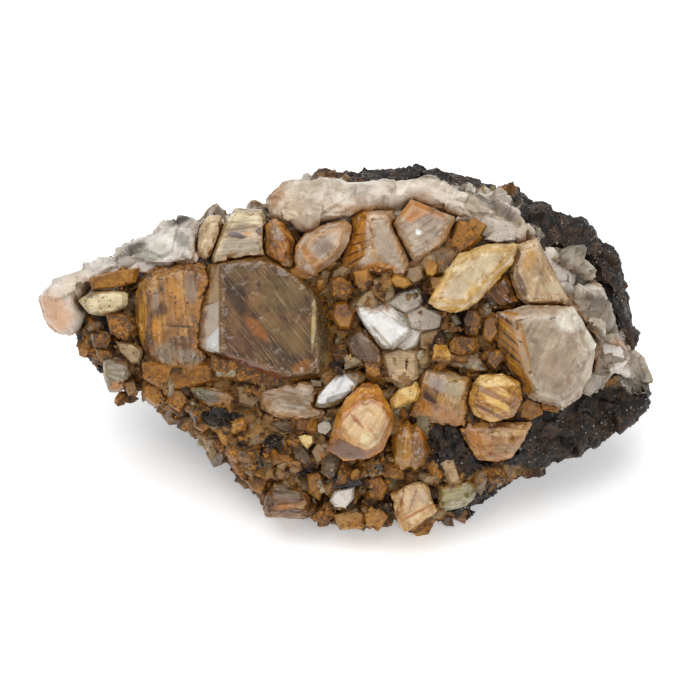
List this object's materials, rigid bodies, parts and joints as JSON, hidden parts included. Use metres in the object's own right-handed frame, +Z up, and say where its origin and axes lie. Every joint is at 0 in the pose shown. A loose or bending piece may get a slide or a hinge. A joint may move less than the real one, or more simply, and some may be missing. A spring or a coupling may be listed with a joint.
{
  "type": "titanite specimen",
  "caption": "Rough cluster of honey, amber and rust-stained titanite crystals on a dark matrix with a pale quartz crust, resting on a flat of its underside.",
  "frame": {"origin": "middle of the specimen's box, on the ground it rests on", "axes": "+X along the specimen's length towards the end with the dark matrix, -Y to the crystal face's lower edge, +Z up; the crystal face leans back by 45 degrees and looks along -Y and +Z"},
  "size_m": [0.0926, 0.0548, 0.0433],
  "materials": {
    "matrix": "rough broken rock, black and granular, dull with glints",
    "quartz": "milky white crystalline crust, waxy",
    "rusty": "rust-stained crystal, satin",
    "smoky": "translucent brown-olive crystal, glassy",
    "amber": "amber crystal, half translucent, satin",
    "honey": "translucent honey-yellow crystal, glassy",
    "pale": "pale pinkish-grey crystal, satin",
    "beige": "beige crystal with rust stains, satin",
    "brown": "dull brown crystal",
    "olive": "olive-grey crystal, satin"
  },
  "bodies": {
    "root": {"amber_block": "beige", "anvil_crystal": "beige", "banded_crystal": "amber", "beige_block": "beige", "boat_crystal": "rusty", "brown_pillar": "brown", "brown_wedge": "brown", "cream_block": "beige", "cream_chip": "quartz", "cream_crystal_right": "beige", "cube_crystal": "beige", "dark_wedge": "brown", "grey_block_left": "pale", "grey_green_wedge": "olive", "hexagonal_amber_crystal": "amber", "honey_blade": "honey", "large_pale_crystal": "pale", "large_smoky_crystal": "smoky", "matrix": "matrix", "olive_crystal": "olive", "pink_rounded_crystal": "pale", "quartz_crust_left": "quartz", "quartz_crust_right": "quartz", "quartz_crust_top": "quartz", "quartz_vein": "quartz", "rhombic_crystal": "pale", "rusty_block": "rusty", "rusty_rounded_crystal": "rusty", "silver_faced_crystal": "pale", "stepped_brown_block": "rusty", "striated_crystal": "beige", "tongue_crystal": "quartz", "twin_amber_crystal": "amber", "white_crystal": "quartz"}
  },
  "joints": []
}
